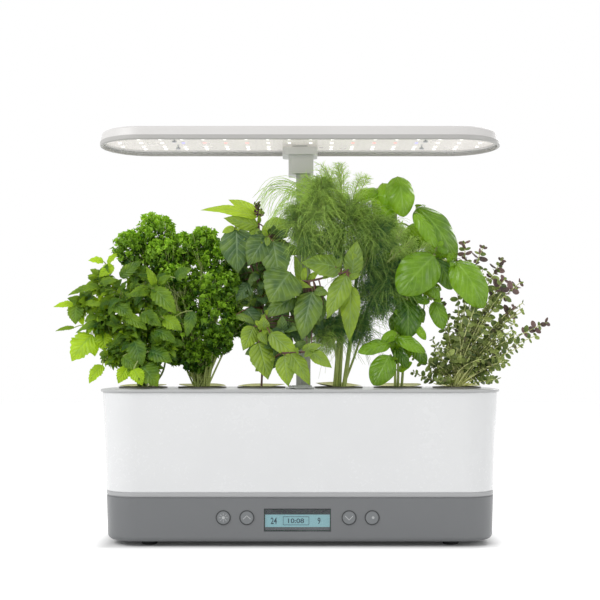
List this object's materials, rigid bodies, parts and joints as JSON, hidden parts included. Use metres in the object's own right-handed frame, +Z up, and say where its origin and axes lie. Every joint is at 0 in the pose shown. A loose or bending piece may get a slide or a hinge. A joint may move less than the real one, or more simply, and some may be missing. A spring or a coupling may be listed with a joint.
{
  "type": "countertop hydroponic garden",
  "caption": "Slim countertop hydroponic garden: base with control panel, water bowl, deck of herb pods and a lamp hood on a telescoping mast.",
  "frame": {"origin": "centre of the footprint, on the surface that the rubber feet stand on", "axes": "+X to the right along the length, +Y to the back (the display faces -Y), +Z up"},
  "size_m": [0.512, 0.14, 0.4163],
  "materials": {
    "base_plastic": "satin moulded grey plastic",
    "seat_plastic": "satin moulded light grey plastic",
    "bowl_plastic": "smooth glossy white plastic",
    "deck_plastic": "fine textured light grey plastic",
    "mast_plastic": "satin light grey plastic",
    "hood_plastic": "smooth pale grey plastic",
    "lens_clear": "clear glossy plastic lens",
    "reflector_board": "white solder-mask circuit board",
    "chip_white": "phosphor lamp chip",
    "chip_red": "red lamp chip",
    "chip_blue": "blue lamp chip",
    "button_plastic": "soft-touch grey keys",
    "window_clear": "smoked clear display window",
    "lcd_glass": "pale cyan back-lit liquid crystal panel",
    "circuit_board": "green circuit board",
    "dark_plastic": "dark moulded plastic",
    "copper_coil": "potted copper winding",
    "screw_steel": "zinc-plated screws and pins",
    "foot_rubber": "soft black rubber",
    "filter_foam": "open-cell filter foam",
    "float_foam": "closed-cell orange float",
    "basket_plastic": "grey moulded plastic",
    "peat_sponge": "compressed peat plug",
    "label_paper": "coated yellow-green paper",
    "mint_leaf": "serrated mint leaves",
    "parsley_leaf": "curled parsley leaflets",
    "thai_leaf": "veined grey-green basil leaves",
    "dill_leaf": "thread-like dill fronds",
    "basil_leaf": "domed glossy basil leaves",
    "thyme_leaf": "small dark thyme leaves"
  },
  "bodies": {
    "garden": {"base_shell": "base_plastic", "seat_ring": "seat_plastic", "bottom_cover": "base_plastic", "feet": "foot_rubber", "cover_screws": "screw_steel", "control_board": "circuit_board", "board_screws": "screw_steel", "lcd_module": "lcd_glass", "display_window": "window_clear", "tact_switches": "dark_plastic", "power_jack": "dark_plastic", "bowl": "bowl_plastic", "pump_contacts": "dark_plastic", "pump_housing": "dark_plastic", "pump_motor": "copper_coil", "impeller_cover": "dark_plastic", "intake_filter": "filter_foam", "water_spout": "dark_plastic", "float_rod": "bowl_plastic", "grow_deck": "deck_plastic", "lid_pin": "screw_steel", "mast_guide": "basket_plastic", "friction_shoe": "foot_rubber", "lamp_lead": "dark_plastic", "basket_1": "basket_plastic", "basket_2": "basket_plastic", "basket_3": "basket_plastic", "basket_4": "basket_plastic", "basket_5": "basket_plastic", "basket_6": "basket_plastic", "grow_sponges": "peat_sponge", "pod_labels": "label_paper", "mint_plant": "mint_leaf", "parsley_plant": "parsley_leaf", "thai_basil_plant": "thai_leaf", "dill_plant": "dill_leaf", "basil_plant": "basil_leaf", "thyme_plant": "thyme_leaf"},
    "light_key": {"light_button": "button_plastic"},
    "up_key": {"up_button": "button_plastic"},
    "down_key": {"down_button": "button_plastic"},
    "food_key": {"food_button": "button_plastic"},
    "filling_lid": {"port_lid": "deck_plastic"},
    "pump_rotor": {"impeller": "basket_plastic"},
    "water_float": {"level_float": "float_foam"},
    "lamp": {"mast_post": "mast_plastic", "mast_sleeve": "mast_plastic", "lamp_bracket": "mast_plastic", "hood_shell": "hood_plastic", "led_board": "reflector_board", "white_chips": "chip_white", "red_chips": "chip_red", "blue_chips": "chip_blue", "lens_cover": "lens_clear", "hood_screws": "screw_steel"}
  },
  "joints": [
    {"name": "light_key_press", "type": "slide", "parent": "garden", "child": "light_key", "axis": [0, 1, 0], "range_m": [0, 0.001], "stiffness_N_per_m": 800, "springref_m": -0.0005},
    {"name": "up_key_press", "type": "slide", "parent": "garden", "child": "up_key", "axis": [0, 1, 0], "range_m": [0, 0.001], "stiffness_N_per_m": 800, "springref_m": -0.0005},
    {"name": "down_key_press", "type": "slide", "parent": "garden", "child": "down_key", "axis": [0, 1, 0], "range_m": [0, 0.001], "stiffness_N_per_m": 800, "springref_m": -0.0005},
    {"name": "food_key_press", "type": "slide", "parent": "garden", "child": "food_key", "axis": [0, 1, 0], "range_m": [0, 0.001], "stiffness_N_per_m": 800, "springref_m": -0.0005},
    {"name": "lid_hinge", "type": "hinge", "parent": "garden", "child": "filling_lid", "pos_m": [0, -0.0215, 0.1561], "axis": [-1, 0, 0], "range_deg": [0, 85]},
    {"name": "pump_spin", "type": "hinge", "parent": "garden", "child": "pump_rotor", "pos_m": [0.0705, 0, 0.07], "axis": [0, 0, 1], "continuous": true},
    {"name": "float_rise", "type": "slide", "parent": "garden", "child": "water_float", "axis": [0, 0, 1], "range_m": [0, 0.07]},
    {"name": "lamp_height", "type": "slide", "parent": "garden", "child": "lamp", "axis": [0, 0, 1], "range_m": [-0.01, 0.058], "deforming": ["lamp_lead"]}
  ]
}
